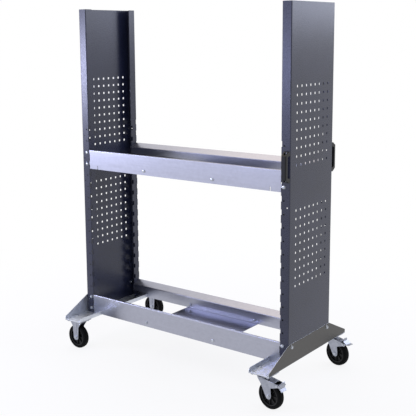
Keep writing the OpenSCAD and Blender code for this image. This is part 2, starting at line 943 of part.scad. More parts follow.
// Brake pedal: toe, neck and tread folded from one strip, with two cheeks on the pin
module brake_pedal(lift) {
    cheek_in = pedal_w / 2 - 2 - pedal_t;
    to_wheel = [trail, wheel_r] - pivot;
    cam_r = norm(to_wheel) - wheel_r - cam_gap;
    cam_a = atan2(to_wheel.y, to_wheel.x);
    cheek = concat(
        [knee, heel],
        arc([0, 0], cheek_r, 90, 200, 6),
        arc([0, 0], cam_r, cam_a - cam_half, cam_a + cam_half, 1),
        arc([0, 0], cheek_r, 268, 290, 3)
    );
    color(steel_colour)
        translate([pivot.x, 0, pivot.y])
            rotate([0, -lift, 0])
                difference() {
                    union() {
                        both([0, 1, 0]) plate_xz(cheek, cheek_in, pedal_t);
                        for (plate = pedal_plates)
                            plate_xz(fold(plate[0], pedal_t, pedal_bend),
                                     -plate[1] / 2, plate[1]);
                    }
                    translate([0, pedal_w / 2, 0])
                        rotate([90, 0, 0])
                            cylinder(r = pin_r + run_gap, h = pedal_w);
                }
}

// The pieces of a rigid caster, by name
module rigid_caster(piece) {
    if (piece == "bracket") rigid_bracket();
    if (piece == "axle_bolt") axle_bolt(0);
    if (piece == "axle_nut") axle_nut(0);
    if (piece == "axle_tube") axle_tube(0);
    if (piece == "wheel_core") wheel_core(0);
    if (piece == "tyre") tyre(0);
}

// The pieces of a swivel caster that turn with its fork, by name
module swivel_caster(piece, lift) {
    if (piece == "fork") fork();
    if (piece == "pedal_pin") pedal_pin();
    if (piece == "brake_pedal") brake_pedal(lift);
    if (piece == "axle_bolt") axle_bolt(trail);
    if (piece == "axle_nut") axle_nut(trail);
    if (piece == "axle_tube") axle_tube(trail);
    if (piece == "wheel_core") wheel_core(trail);
    if (piece == "tyre") tyre(trail);
}

module front_rigid(piece) at_caster(-1, -1, 0) rigid_caster(piece);
module rear_rigid(piece) at_caster(-1, 1, 0) rigid_caster(piece);
module front_swivel(piece) at_caster(1, -1, front_turn) swivel_caster(piece, 0);
module rear_swivel(piece) at_caster(1, 1, rear_turn) swivel_caster(piece, pedal_travel);

side_panel(1);  // side_panel_left
side_panel(-1);  // side_panel_right
rail(-1, upper_rail_z);  // upper_front_rail
rail(1, upper_rail_z);  // upper_rear_rail
rail(-1, lower_rail_z);  // lower_front_rail
rail(1, lower_rail_z);  // lower_rear_rail
cross_tray(upper_rail_z);  // upper_cross_tray
cross_tray(lower_rail_z);  // lower_cross_tray
foot(1);  // foot_left
foot(-1);  // foot_right
push_handle(-1);  // push_handle_front
push_handle(1);  // push_handle_rear
rail_bolts();
rail_nuts();
tray_bolts();
tray_nuts();
foot_bolts();
foot_nuts();
handle_screws();
handle_nuts();
caster_bolts();
caster_nuts();
front_rigid("bracket");  // front_rigid_bracket
front_rigid("axle_bolt");  // front_rigid_axle_bolt
front_rigid("axle_nut");  // front_rigid_axle_nut
front_rigid("axle_tube");  // front_rigid_axle_tube
front_rigid("wheel_core");  // front_rigid_wheel_core
front_rigid("tyre");  // front_rigid_tyre
rear_rigid("bracket");  // rear_rigid_bracket
rear_rigid("axle_bolt");  // rear_rigid_axle_bolt
rear_rigid("axle_nut");  // rear_rigid_axle_nut
rear_rigid("axle_tube");  // rear_rigid_axle_tube
rear_rigid("wheel_core");  // rear_rigid_wheel_core
rear_rigid("tyre");  // rear_rigid_tyre
at_caster(1, -1, 0) swivel_plate();  // front_swivel_plate
at_caster(1, -1, 0) swivel_race();  // front_swivel_race
at_caster(1, -1, 0) swivel_balls();  // front_swivel_balls
at_caster(1, -1, 0) king_pin();  // front_king_pin
front_swivel("fork");  // front_fork
front_swivel("pedal_pin");  // front_pedal_pin
front_swivel("brake_pedal");  // front_brake_pedal
front_swivel("axle_bolt");  // front_swivel_axle_bolt
front_swivel("axle_nut");  // front_swivel_axle_nut
front_swivel("axle_tube");  // front_swivel_axle_tube
front_swivel("wheel_core");  // front_swivel_wheel_core
front_swivel("tyre");  // front_swivel_tyre
at_caster(1, 1, 0) swivel_plate();  // rear_swivel_plate
at_caster(1, 1, 0) swivel_race();  // rear_swivel_race
at_caster(1, 1, 0) swivel_balls();  // rear_swivel_balls
at_caster(1, 1, 0) king_pin();  // rear_king_pin
rear_swivel("fork");  // rear_fork
rear_swivel("pedal_pin");  // rear_pedal_pin
rear_swivel("brake_pedal");  // rear_brake_pedal
rear_swivel("axle_bolt");  // rear_swivel_axle_bolt
rear_swivel("axle_nut");  // rear_swivel_axle_nut
rear_swivel("axle_tube");  // rear_swivel_axle_tube
rear_swivel("wheel_core");  // rear_swivel_wheel_core
rear_swivel("tyre");  // rear_swivel_tyre
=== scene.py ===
"""Looks of a two-tier tyre trolley in powder-coated and galvanised sheet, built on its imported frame."""

import json
import logging
from dataclasses import dataclass, field
from enum import Enum
from itertools import product

import bpy
import numpy as np
from mathutils import Matrix, Vector

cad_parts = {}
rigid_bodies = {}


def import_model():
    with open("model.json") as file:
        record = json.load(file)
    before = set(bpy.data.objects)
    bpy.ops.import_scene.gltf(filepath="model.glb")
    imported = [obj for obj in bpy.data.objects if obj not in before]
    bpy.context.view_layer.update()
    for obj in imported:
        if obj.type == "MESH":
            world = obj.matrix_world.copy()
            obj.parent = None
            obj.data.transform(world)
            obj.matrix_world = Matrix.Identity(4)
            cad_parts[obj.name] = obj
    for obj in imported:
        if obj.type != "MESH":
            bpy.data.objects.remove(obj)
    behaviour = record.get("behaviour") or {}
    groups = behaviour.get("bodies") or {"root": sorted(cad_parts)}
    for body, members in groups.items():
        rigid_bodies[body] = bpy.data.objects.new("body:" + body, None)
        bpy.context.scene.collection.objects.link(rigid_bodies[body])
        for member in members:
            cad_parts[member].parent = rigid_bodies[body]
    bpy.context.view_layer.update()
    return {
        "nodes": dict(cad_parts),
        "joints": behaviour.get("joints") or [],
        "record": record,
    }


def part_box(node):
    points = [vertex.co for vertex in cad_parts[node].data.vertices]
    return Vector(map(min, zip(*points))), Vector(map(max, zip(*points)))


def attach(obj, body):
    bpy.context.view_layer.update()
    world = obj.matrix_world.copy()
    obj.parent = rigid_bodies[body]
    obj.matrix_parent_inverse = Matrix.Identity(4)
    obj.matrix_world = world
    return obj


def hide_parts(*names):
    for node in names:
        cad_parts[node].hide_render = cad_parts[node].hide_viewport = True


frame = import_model()

logging.basicConfig(level=logging.INFO, format="%(name)s: %(message)s")
LOG = logging.getLogger("trolley")
MM = 0.001
# What feeds a node's inputs: values or output sockets, by input name or number
Inputs = dict[str | int, object]
# A ring of points round Z: its radius and its height, each one number or one value for each column
Ring = tuple[float | np.ndarray, float | np.ndarray]
# Where a bolt's head stands, and the direction in which it stands out
Seat = tuple[tuple[float, float, float], tuple[float, float, float]]
# Nearly all values of a noise lie between these two
NOISE_LOW = 0.3
NOISE_HIGH = 0.7


class End(Enum):
    """The trolley's front and rear, with the sign of Y on that side."""

    front = -1
    rear = 1


class Tier(Enum):
    """The two levels that tyres stand on."""

    upper = "upper"
    lower = "lower"


class Mounting(Enum):
    """How a caster is held: the rigid ones are on the left and the swivel ones under the handles."""

    rigid = "rigid"
    swivel = "swivel"


# Colours and nodes

def linear(code: str) -> tuple[float, float, float, float]:
    """Turns an sRGB hex colour into linear light by the sRGB curve.

    Args:
        code: The colour as "#rrggbb".

    Returns:
        Linear red, green, blue and an alpha of 1.
    """
    srgb = np.array([int(code[i:i + 2], 16) for i in (1, 3, 5)]) / 255.0
    light = np.where(srgb <= 0.04045, srgb / 12.92, ((srgb + 0.055) / 1.055) ** 2.4)
    return float(light[0]), float(light[1]), float(light[2]), 1.0


def add_node(tree: bpy.types.NodeTree, kind: str, inputs: Inputs, **settings: object) -> bpy.types.Node:
    """Adds a node with its settings, and fills its inputs with values or links.

    Args:
        tree: The node tree.
        kind: The node's type name.
        inputs: Input name or index to a value, or to the output socket that feeds it.
        **settings: Properties of the node itself.

    Returns:
        The new node.
    """
    made = tree.nodes.new(kind)
    for name, value in settings.items():
        setattr(made, name, value)
    for key, value in inputs.items():
        if isinstance(value, bpy.types.NodeSocket):
            tree.links.new(value, made.inputs[key])
        else:
            made.inputs[key].default_value = value
    return made


# Finishes

@dataclass(frozen=True)
class Finish:
    """A real material and how its surface was made; subclasses lay out its nodes."""

    name: str
    # Its colour wanders between these two
    low: str
    high: str
    roughness: float
    # How far the fine pattern moves the roughness either way
    swing: float = 0.06
    # How high the fine pattern stands
    depth_mm: float = 0.05

    def material(self) -> bpy.types.Material:
        """Makes the material: a Principled shader that the subclass dresses.

        Returns:
            The material.
        """
        made = bpy.data.materials.new(self.name)
        made.use_nodes = True
        tree = made.node_tree
        place = add_node(tree, "ShaderNodeTexCoord", {}).outputs["Object"]
        self.dress(tree, tree.nodes["Principled BSDF"], place)
        return made

    def dress(self, tree: bpy.types.NodeTree, shader: bpy.types.Node, place: bpy.types.NodeSocket) -> None:
        """Sets the shader's values and patterns, each finish in its own way."""
        raise NotImplementedError

    def texture(self, tree: bpy.types.NodeTree, shader: bpy.types.Node, cloud: bpy.types.NodeSocket,
                grain: bpy.types.NodeSocket) -> None:
        """Links a slow pattern to the colour and a fine one to the roughness and the bump.

        Args:
            tree: The material's node tree.
            shader: Its Principled shader.
            cloud: The slow pattern, which moves the colour from low to high.
            grain: The fine pattern.
        """
        part = add_node(tree, "ShaderNodeMapRange", {
            "Value": cloud, "From Min": NOISE_LOW, "From Max": NOISE_HIGH,
        })
        colour = add_node(tree, "ShaderNodeMix", {
            "Factor": part.outputs["Result"], "A": linear(self.low), "B": linear(self.high),
        }, data_type="RGBA")
        rough = add_node(tree, "ShaderNodeMapRange", {
            "Value": grain, "From Min": NOISE_LOW, "From Max": NOISE_HIGH,
            "To Min": self.roughness - self.swing, "To Max": self.roughness + self.swing,
        })
        bump = add_node(tree, "ShaderNodeBump", {"Height": grain, "Distance": self.depth_mm * MM})
        tree.links.new(colour.outputs["Result"], shader.inputs["Base Color"])
        tree.links.new(rough.outputs["Result"], shader.inputs["Roughness"])
        tree.links.new(bump.outputs["Normal"], shader.inputs["Normal"])


@dataclass(frozen=True)
class PowderCoat(Finish):
    """Polyester powder coat, sprayed and baked on folded steel."""

    # The eye gets a blue-grey satin whose reflections break up into a fine mottle. Its real texture
    # of about 1 mm is too fine for the picture, so it is drawn as coarse as peel_mm.
    depth_mm: float = 0.08
    peel_mm: float = 4.0
    cloud_mm: float = 140.0

    def dress(self, tree: bpy.types.NodeTree, shader: bpy.types.Node, place: bpy.types.NodeSocket) -> None:
        """Noise gives the peel, and slower noise clouds the colour.

        Args:
            tree: The material's node tree.
            shader: Its Principled shader.
            place: The Object coordinate.
        """
        shader.inputs["IOR"].default_value = 1.5
        peel = add_node(tree, "ShaderNodeTexNoise", {
            "Vector": place, "Scale": 1 / (self.peel_mm * MM), "Detail": 3.0, "Roughness": 0.6,
        })
        cloud = add_node(tree, "ShaderNodeTexNoise", {
            "Vector": place, "Scale": 1 / (self.cloud_mm * MM), "Detail": 2.0,
        })
        self.texture(tree, shader, cloud.outputs["Fac"], peel.outputs["Fac"])


@dataclass(frozen=True)
class Galvanised(Finish):
    """Hot-dip galvanised sheet, rolled smooth after its bath."""

    # The eye gets a pale satin metal with faint zinc crystals under a grain along the rolling.
    # The grain is drawn far coarser than the real one, which the picture can't hold.
    swing: float = 0.015
    depth_mm: float = 0.01
    crystal_mm: float = 12.0
    grain_mm: float = 5.0
    # The grain is this much slower along X, the way the sheet was rolled
    stretch: float = 0.03
    # Share of the grain in the colour, with the crystals' tones as the rest
    grain_share: float = 0.7

    def dress(self, tree: bpy.types.NodeTree, shader: bpy.types.Node, place: bpy.types.NodeSocket) -> None:
        """Crystals are Voronoi cells, each with a tone, and the grain is noise drawn out along X.

        Args:
            tree: The material's node tree.
            shader: Its Principled shader.
            place: The Object coordinate.
        """
        shader.inputs["Metallic"].default_value = 1.0
        cells = add_node(tree, "ShaderNodeTexVoronoi", {
            "Vector": place, "Scale": 1 / (self.crystal_mm * MM),
        })
        tone = add_node(tree, "ShaderNodeSeparateColor", {"Color": cells.outputs["Color"]})
        rolled = add_node(tree, "ShaderNodeMapping", {"Vector": place, "Scale": (self.stretch, 1.0, 1.0)})
        grain = add_node(tree, "ShaderNodeTexNoise", {
            "Vector": rolled.outputs["Vector"], "Scale": 1 / (self.grain_mm * MM), "Detail": 4.0,
        })
        cloud = add_node(tree, "ShaderNodeMix", {
            "Factor": self.grain_share, "A": tone.outputs["Red"], "B": grain.outputs["Fac"],
        }, data_type="FLOAT")
        self.texture(tree, shader, cloud.outputs["Result"], grain.outputs["Fac"])


@dataclass(frozen=True)
class GalvanisedWithPaintedShade(Galvanised):
    """The same sheet on the feet, with painted shade on their outer sides."""

    # The eye gets bright tops and inner sides. The outer sides get painted shade: a dark grey that stands in
    # for the dark surroundings they reflect, not a duller surface.
    dull: str = "#5e5d5c"
    # The painted shade comes in as the normal's X times the place's X, in metres, rises from the first of
    # these to the second: the outer plates are at 0.598 and 0.656, the inner edges at 0.495 and 0.553
    away_from: float = 0.588
    away_to: float = 0.594

    def dress(self, tree: bpy.types.NodeTree, shader: bpy.types.Node, place: bpy.types.NodeSocket) -> None:
        """Dresses as the bright sheet, then mixes in the painted shade where a face looks away from the
        trolley.

        Args:
            tree: The material's node tree.
            shader: Its Principled shader.
            place: The Object coordinate.
        """
        super().dress(tree, shader, place)
        facing = add_node(tree, "ShaderNodeNewGeometry", {}).outputs["Normal"]
        way = add_node(tree, "ShaderNodeVectorMath", {0: facing, 1: place}, operation="MULTIPLY")
        sides = add_node(tree, "ShaderNodeSeparateXYZ", {"Vector": way.outputs["Vector"]})
        away = add_node(tree, "ShaderNodeMapRange", {
            "Value": sides.outputs["X"], "From Min": self.away_from, "From Max": self.away_to,
        })
        bright = shader.inputs["Base Color"].links[0].from_socket
        # Painted shade: the outer faces take a flat dark grey in place of the reflection they would show
        mixed = add_node(tree, "ShaderNodeMix", {
            "Factor": away.outputs["Result"], "A": bright, "B": linear(self.dull),
        }, data_type="RGBA")
        tree.links.new(mixed.outputs["Result"], shader.inputs["Base Color"])


@dataclass(frozen=True)
class ZincPlate(Finish):
    """Bright electroplated zinc on pressed, turned and cold-headed steel."""

    # The eye gets a clear cold metal with a soft cloudiness from the passivation bath.
    depth_mm: float = 0.02
    cloud_mm: float = 18.0
    mark_mm: float = 1.5

    def dress(self, tree: bpy.types.NodeTree, shader: bpy.types.Node, place: bpy.types.NodeSocket) -> None:
        """Clouds give the colour, and fine forming marks the roughness.

        Args:
            tree: The material's node tree.
            shader: Its Principled shader.
            place: The Object coordinate.
        """
        shader.inputs["Metallic"].default_value = 1.0
        cloud = add_node(tree, "ShaderNodeTexNoise", {
            "Vector": place, "Scale": 1 / (self.cloud_mm * MM), "Detail": 3.0,
        })
        mark = add_node(tree, "ShaderNodeTexNoise", {
            "Vector": place, "Scale": 1 / (self.mark_mm * MM), "Detail": 3.0,
        })
        self.texture(tree, shader, cloud.outputs["Fac"], mark.outputs["Fac"])


@dataclass(frozen=True)
class BlackMoulding(Finish):
    """Black polyamide, injection moulded in a spark-eroded tool."""

    # The eye gets a near black with an even fine grain and a dull sheen on its edges.
    grain_mm: float = 1.0
    cloud_mm: float = 30.0
    # Half the usual gleam, as the real pits are finer than the grain drawn here and swallow light
    gleam: float = 0.25

    def dress(self, tree: bpy.types.NodeTree, shader: bpy.types.Node, place: bpy.types.NodeSocket) -> None:
        """Fine noise gives the eroded grain over a nearly even black.

        Args:
            tree: The material's node tree.
            shader: Its Principled shader.
            place: The Object coordinate.
        """
        shader.inputs["IOR"].default_value = 1.53
        shader.inputs["Specular IOR Level"].default_value = self.gleam
        grain = add_node(tree, "ShaderNodeTexNoise", {
            "Vector": place, "Scale": 1 / (self.grain_mm * MM), "Detail": 2.0,
        })
        cloud = add_node(tree, "ShaderNodeTexNoise", {
            "Vector": place, "Scale": 1 / (self.cloud_mm * MM), "Detail": 2.0,
        })
        self.texture(tree, shader, cloud.outputs["Fac"], grain.outputs["Fac"])


@dataclass(frozen=True)
class BlackOxide(BlackMoulding):
    """Steel blackened in a hot salt bath."""

    # The eye gets nearly the mouldings' dull black, as the oxide hides the metal under it.


@dataclass(frozen=True)
class SolidRubber(Finish):
    """Black rubber, vulcanised in a mould."""

    # The eye gets a matt black, a little grey where the tread has rolled over a floor.
    swing: float = 0.08
    depth_mm: float = 0.06
    bloom_mm: float = 12.0
    skin_mm: float = 1.5
    # Hardly any gleam, because the bloom lies on the rubber as a fine powder
    gleam: float = 0.06

    def dress(self, tree: bpy.types.NodeTree, shader: bpy.types.Node, place: bpy.types.NodeSocket) -> None:
        """Clouds of bloom give the colour, and a fine skin the bump.

        Args:
            tree: The material's node tree.
            shader: Its Principled shader.
            place: The Object coordinate.
        """
        shader.inputs["IOR"].default_value = 1.52
        shader.inputs["Specular IOR Level"].default_value = self.gleam
        bloom = add_node(tree, "ShaderNodeTexNoise", {
            "Vector": place, "Scale": 1 / (self.bloom_mm * MM), "Detail": 4.0,
        })
        skin = add_node(tree, "ShaderNodeTexNoise", {
            "Vector": place, "Scale": 1 / (self.skin_mm * MM), "Detail": 3.0,
        })
        self.texture(tree, shader, bloom.outputs["Fac"], skin.outputs["Fac"])


class Slot(Enum):
    """The record's material slots, each with the finish that dresses it."""

    # Panels, dark and slightly blue
    panel_coat = PowderCoat("anthracite_powder_coat", "#1c2033", "#21253a", 0.29)
    # Rails and trays, smooth enough to shine
    zinc_sheet = Galvanised("galvanised_sheet", "#a2a4b1", "#a8aab7", 0.29)
    # Feet, rougher than the rails. Their colour is painted paler than the rails' same sheet, a painted sheen
    # for their lit tops
    zinc_foot = GalvanisedWithPaintedShade("galvanised_foot_sheet", "#cdd2dc", "#d9dde5", 0.48)
    # Forks, brackets, top plates and brake pedals, pressed and then plated
    caster_zinc = ZincPlate("zinc_plated_pressings", "#9094a0", "#a6a9b4", 0.34)
    # Bolts, screws, nuts, pins, axle tubes and balls, smoother and so with sharper glints
    steel_fastener = ZincPlate("zinc_plated_fasteners", "#a3a8b2", "#bcc0c9", 0.22)
    # Races of the swivel bearings
    black_race = BlackOxide("blackened_bearing_race", "#1a1c1f", "#24272b", 0.3)
    # Push handles
    black_plastic = BlackMoulding("moulded_polyamide", "#0b0c0f", "#121317", 0.36)
    # Wheel cores, duller than the handles
    wheel_plastic = BlackMoulding("moulded_wheel_core", "#09090b", "#0f0f11", 0.45)
    # Tyres
    rubber = SolidRubber("solid_rubber", "#070708", "#0d0d0e", 0.62)


@dataclass
class Wardrobe:
    """Makes each finish once and puts it on pieces."""

    made: dict[Slot, bpy.types.Material] = field(default_factory=dict)

    def dress(self, piece: bpy.types.Object, slot: Slot) -> None:
        """Gives a piece its finish.

        Args:
            piece: The piece.
            slot: The slot of its finish.
        """
        if slot not in self.made:
            self.made[slot] = slot.value.material()
        piece.data.materials.clear()
        piece.data.materials.append(self.made[slot])


# Surfaces

def smooth(part: np.ndarray) -> np.ndarray:
    """Goes from 0 to 1 as part does, level at both ends: three squares less two cubes."""
    held = np.clip(part, 0.0, 1.0)
    return held * held * (3 - 2 * held)


def turns(columns: int) -> np.ndarray:
    """The angles of a grid's columns, once round from 0."""
    return np.arange(columns) * 2 * np.pi / columns


def hexagon(turn: np.ndarray, flats: float) -> np.ndarray:
    """Radius of a hexagon at each angle: half its flats over the cosine of the angle to its nearest flat."""
    return flats / 2 / np.cos((turn + np.pi / 6) % (np.pi / 3) - np.pi / 6)


def around(turn: np.ndarray, rows: list[Ring]) -> np.ndarray:
    """Grid of points round Z: radius by cosine, radius by sine, and height.

    Args:
        turn: The angle of each column.
        rows: The rings, one for each row.

    Returns:
        Points as (rows, columns, 3).
    """
    radius = np.array([np.broadcast_to(row[0], turn.shape) for row in rows], float)
    height = np.array([np.broadcast_to(row[1], turn.shape) for row in rows], float)
    return np.stack([radius * np.cos(turn), radius * np.sin(turn), height], -1)


@dataclass
class Surface:
    """Points, quads and triangles of closed surfaces, in millimetres."""

    points: np.ndarray
    quads: np.ndarray
    fans: np.ndarray

    @classmethod
    def closed(cls, grid: np.ndarray, poles: bool) -> "Surface":
        """Closes a grid into a surface that faces outwards where its rows run down its outside.

        Args:
            grid: Points as (rows, columns, 3); the columns close on themselves.
            poles: True where the first and the last row are one point each, False where the
                rows close on themselves as well.

        Returns:
            The surface.
        """
        body = grid[1:-1] if poles else grid
        count, columns = body.shape[:2]
        row = np.arange(count - 1 if poles else count)[:, None] * columns
        column = np.arange(columns)[None, :]
        below = (row + columns) % (count * columns)
        beside = (column + 1) % columns
        quads = np.stack([row + column, below + column, below + beside, row + beside], -1).reshape(-1, 4)
        points = body.reshape(-1, 3)
        fans = np.empty((0, 3), int)
        if poles:
            first = np.full(columns, len(points))
            rim = (count - 1) * columns
            fans = np.concatenate([
                np.stack([first, column[0], beside[0]], -1),
                np.stack([first + 1, rim + beside[0], rim + column[0]], -1),
            ])
            points = np.vstack([points, grid[0, :1], grid[-1, :1]])
        return cls(points, quads, fans)

    def placed(self, origin: np.ndarray, axis: np.ndarray) -> "Surface":
        """Turns the surface's Z to an axis and moves its origin to a place.

        The surface's X goes to the cross product of the trolley's X and the axis, or of the
        trolley's Z and the axis where the axis runs along X.

        Args:
            origin: Where the surface's origin goes.
            axis: The way its Z points.

        Returns:
            The placed surface.
        """
        up = np.asarray(axis, float) / np.linalg.norm(axis)
        along_x = abs(up[0]) > 0.9
        side = np.cross(np.eye(3)[2 if along_x else 0], up)
        side /= np.linalg.norm(side)
        return Surface(self.points @ np.stack([side, np.cross(up, side), up]) + origin, self.quads, self.fans)

    @classmethod
    def joined(cls, parts: list["Surface"]) -> "Surface":
        """Puts several surfaces into one.

        Args:
            parts: The surfaces.

        Returns:
            One surface that holds them all, not merged.
        """
        starts = np.cumsum([0] + [len(part.points) for part in parts[:-1]])
        return cls(np.vstack([part.points for part in parts]),
                   np.vstack([part.quads + start for part, start in zip(parts, starts)]),
                   np.vstack([part.fans + start for part, start in zip(parts, starts)]))


# What every sub-assembly does

@dataclass
class SubAssembly:
    """A group of pieces that share a wardrobe."""

    wardrobe: Wardrobe
    # An edge that turns by more than this many degrees is rounded, or stays crisp on a made piece
    sharp: float = 32.0
    # Corners nearer than this, in metres, are one
    same_corner: float = 1e-6
    # Faces that turn by less than this many degrees are one
    same_face: float = 0.5
    # Rounding of a turned or cold-headed piece, in mm
    small_edge: float = 0.3

    def solid(self, name: str, rounding: float) -> None:
        """Dresses a CAD node by its slot in the record, and rounds its edges.

        Args:
            name: The node.
            rounding: Width of the rounding in mm.
        """
        piece = frame["nodes"][name]
        slot = next(row["material_slot"] for row in frame["record"]["subparts"] if row["node"] == name)
        piece.data.polygons.foreach_set("use_smooth", np.ones(len(piece.data.polygons), bool))
        weld = piece.modifiers.new("one_skin", "WELD")
        weld.merge_threshold = self.same_corner
        flat = piece.modifiers.new("whole_faces", "DECIMATE")
        flat.decimate_type = "DISSOLVE"
        flat.angle_limit = np.radians(self.same_face)
        bevel = piece.modifiers.new("rounded_edges", "BEVEL")
        bevel.width = rounding * MM
        bevel.segments = 2
        bevel.limit_method = "ANGLE"
        bevel.angle_limit = np.radians(self.sharp)
        flatter = piece.modifiers.new("flat_faces_stay_flat", "WEIGHTED_NORMAL")
        flatter.mode = "FACE_AREA"
        self.wardrobe.dress(piece, Slot[slot])
        LOG.info("dressed %s as %s", name, slot)

    def made(self, name: str, surface: Surface, slot: Slot, body: str, nodes: list[str]) -> None:
        """Makes a piece of a surface.

        Args:
            name: The piece's name.
            surface: Its surface in mm, in the trolley's place.
            slot: Its finish.
            body: The body that it rides on.
            nodes: The CAD nodes that it stands for.
        """
        mesh = bpy.data.meshes.new(name)
        mesh.from_pydata((surface.points * MM).tolist(), [], surface.quads.tolist() + surface.fans.tolist())
        mesh.polygons.foreach_set("use_smooth", np.ones(len(mesh.polygons), bool))
        mesh.set_sharp_from_angle(angle=np.radians(self.sharp))
        piece = bpy.data.objects.new(name, mesh)
        bpy.context.scene.collection.objects.link(piece)
        self.wardrobe.dress(piece, slot)
        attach(piece, body)
        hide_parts(*nodes)
        LOG.info("made %s of %d faces", name, len(mesh.polygons))


def corners(node: str) -> tuple[np.ndarray, np.ndarray]:
    """Lowest and highest corner of a CAD node, in mm."""
    low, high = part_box(node)
    return np.array(low) / MM, np.array(high) / MM


# Sheet metal

@dataclass
class Sheetwork(SubAssembly):
    """The folded panels, rails, trays and feet, and the moulded handles bolted to them."""

    # Roundings in mm, a little wider than the real ones so that the picture shows their glint
    sheet_edge: float = 0.7
    rail_edge: float = 0.9
    handle_edge: float = 1.6

    def build(self) -> None:
        """Dresses the sheets and handles, with edges that catch the light."""
        for name in ("side_panel_left", "side_panel_right", "foot_left", "foot_right",
                     "upper_cross_tray", "lower_cross_tray"):
            self.solid(name, self.sheet_edge)
        for tier, end in product(Tier, End):
            self.solid(f"{tier.name}_{end.name}_rail", self.rail_edge)
        for end in End:
            self.solid(f"push_handle_{end.name}", self.handle_edge)


# Fasteners

@dataclass
class BoltSize:
    """A hexagon flange bolt with its nut, in mm."""

    # What the CAD node of such a group is called after its kind
    word: str = "bolts"
    # Diameter, pitch and depth of the thread
    thread: float = 8.0
    pitch: float = 1.25
    thread_depth: float = 0.5
    # Height of the 45 degree cone that the thread ends in
    point: float = 0.9
    # Width of a hexagon across its flats, its round end face as a share of that, and the slope of
    # its chamfer in degrees
    flats: float = 13.0
    end_face: float = 0.95
    chamfer_slope: float = 30.0
    # Height of the head with its collar, and the collar's diameter and thickness
    head: float = 5.3
    collar: float = 16.25
    collar_t: float = 1.5
    # Width of the collar's sloping rim, the step out at its top, and the fillet above it
    collar_slope: float = 1.3
    collar_step: float = 0.2
    collar_fillet: float = 0.3
    # Height of the nut, and what stands out past it
    nut: float = 6.5
    past_nut: float = 2.0
    # The nut's bore is this much wider in radius than the thread, and opens by a cone at each end
    bore_gap: float = 0.03
    bore_cone: float = 0.5
    columns: int = 48
    thread_rows: int = 16

    def chamfer(self) -> tuple[float, np.ndarray, np.ndarray]:
        """Works out how a cone cuts a hexagon's corners: by how far each stands out, times the slope.

        Returns:
            The end face's radius, and for each column the hexagon's radius and the depth of the cut.
        """
        edge = hexagon(turns(self.columns), self.flats)
        face = self.end_face * self.flats / 2
        return face, edge, (edge - face) * np.tan(np.radians(self.chamfer_slope))

    def shank(self, grip: float) -> list[Ring]:
        """A shank with a threaded end.

        The thread is a helix: its depth is a triangle wave of height over pitch less the turn's
        share of a circle. A cone as high as point narrows its end.

        Args:
            grip: Thickness of the sheets that it holds.

        Returns:
            Rings from the seat down to the middle of the end.
        """
        turn = turns(self.columns)
        end = grip + self.nut + self.past_nut
        radius = self.thread / 2
        height = np.linspace(-(end - self.past_nut - self.pitch), -end, self.thread_rows)
        wave = np.abs(2 * ((height[:, None] / self.pitch - turn / (2 * np.pi)) % 1) - 1)
        cone = radius - self.point + (height[:, None] + end)
        thread = np.minimum(radius - self.thread_depth * wave, cone)
        return [(radius, 0.0)] + list(zip(thread, height)) + [(0.0, -end)]

    def bolt(self, grip: float) -> Surface:
        """A bolt round Z with its seat at 0: a chamfered hexagon on a sloping collar, and the shank.

        Args:
            grip: Thickness of the sheets that it holds.

        Returns:
            The bolt.
        """
        face, edge, cut = self.chamfer()
        rim = self.collar / 2
        brim = np.maximum(edge, rim - self.collar_slope)
        rows = [(0.0, self.head), (face, self.head), (edge, self.head - cut),
                (edge, self.collar_t + self.collar_fillet), (brim + self.collar_step, self.collar_t),
                (rim, self.collar_t / 2), (rim, 0.0)]
        return Surface.closed(around(turns(self.columns), rows + self.shank(grip)), True)

    def hex_nut(self) -> Surface:
        """A nut round Z from 0 upwards: a hexagon chamfered at both ends, round a coned bore.

        Returns:
            The nut.
        """
        face, edge, cut = self.chamfer()
        bore = self.thread / 2 + self.bore_gap
        mouth = bore + self.bore_cone
        rows = [(mouth, self.nut), (face, self.nut), (edge, self.nut - cut), (edge, cut), (face, 0.0),
                (mouth, 0.0), (bore, self.bore_cone), (bore, self.nut - self.bore_cone)]
        return Surface.closed(around(turns(self.columns), rows), False)


@dataclass
class ScrewSize(BoltSize):
    """A pan head screw with a hexagon socket, and its plain nut, in mm."""

    word: str = "screws"
    thread: float = 6.0
    pitch: float = 1.0
    flats: float = 10.0
    head: float = 4.5
    nut: float = 5.0
    # Diameter of the head, height of its straight rim and radius of the flat round its socket
    pan: float = 10.5
    pan_brim: float = 1.2
    pan_flat: float = 2.9
    dome_rows: int = 8
    # Width of the socket across its flats, its depth and the chamfer at its mouth
    socket: float = 4.0
    socket_deep: float = 2.4
    socket_edge: float = 0.15

    def bolt(self, grip: float) -> Surface:
        """A screw round Z: a hexagon socket in a head whose dome is a quarter of an ellipse.

        Args:
            grip: Thickness of what it holds.

        Returns:
            The screw.
        """
        turn = turns(self.columns)
        inside = hexagon(turn, self.socket)
        floor = self.head - self.socket_deep
        slope = np.linspace(0, np.pi / 2, self.dome_rows)
        dome = zip(self.pan_flat + (self.pan / 2 - self.pan_flat) * np.sin(slope),
                   self.pan_brim + (self.head - self.pan_brim) * np.cos(slope))
        rows = [(0.0, floor), (inside, floor), (inside, self.head - self.socket_edge),
                (inside + self.socket_edge, self.head)] + list(dome) + [(self.pan / 2, 0.0)]
        return Surface.closed(around(turn, rows + self.shank(grip)), True)


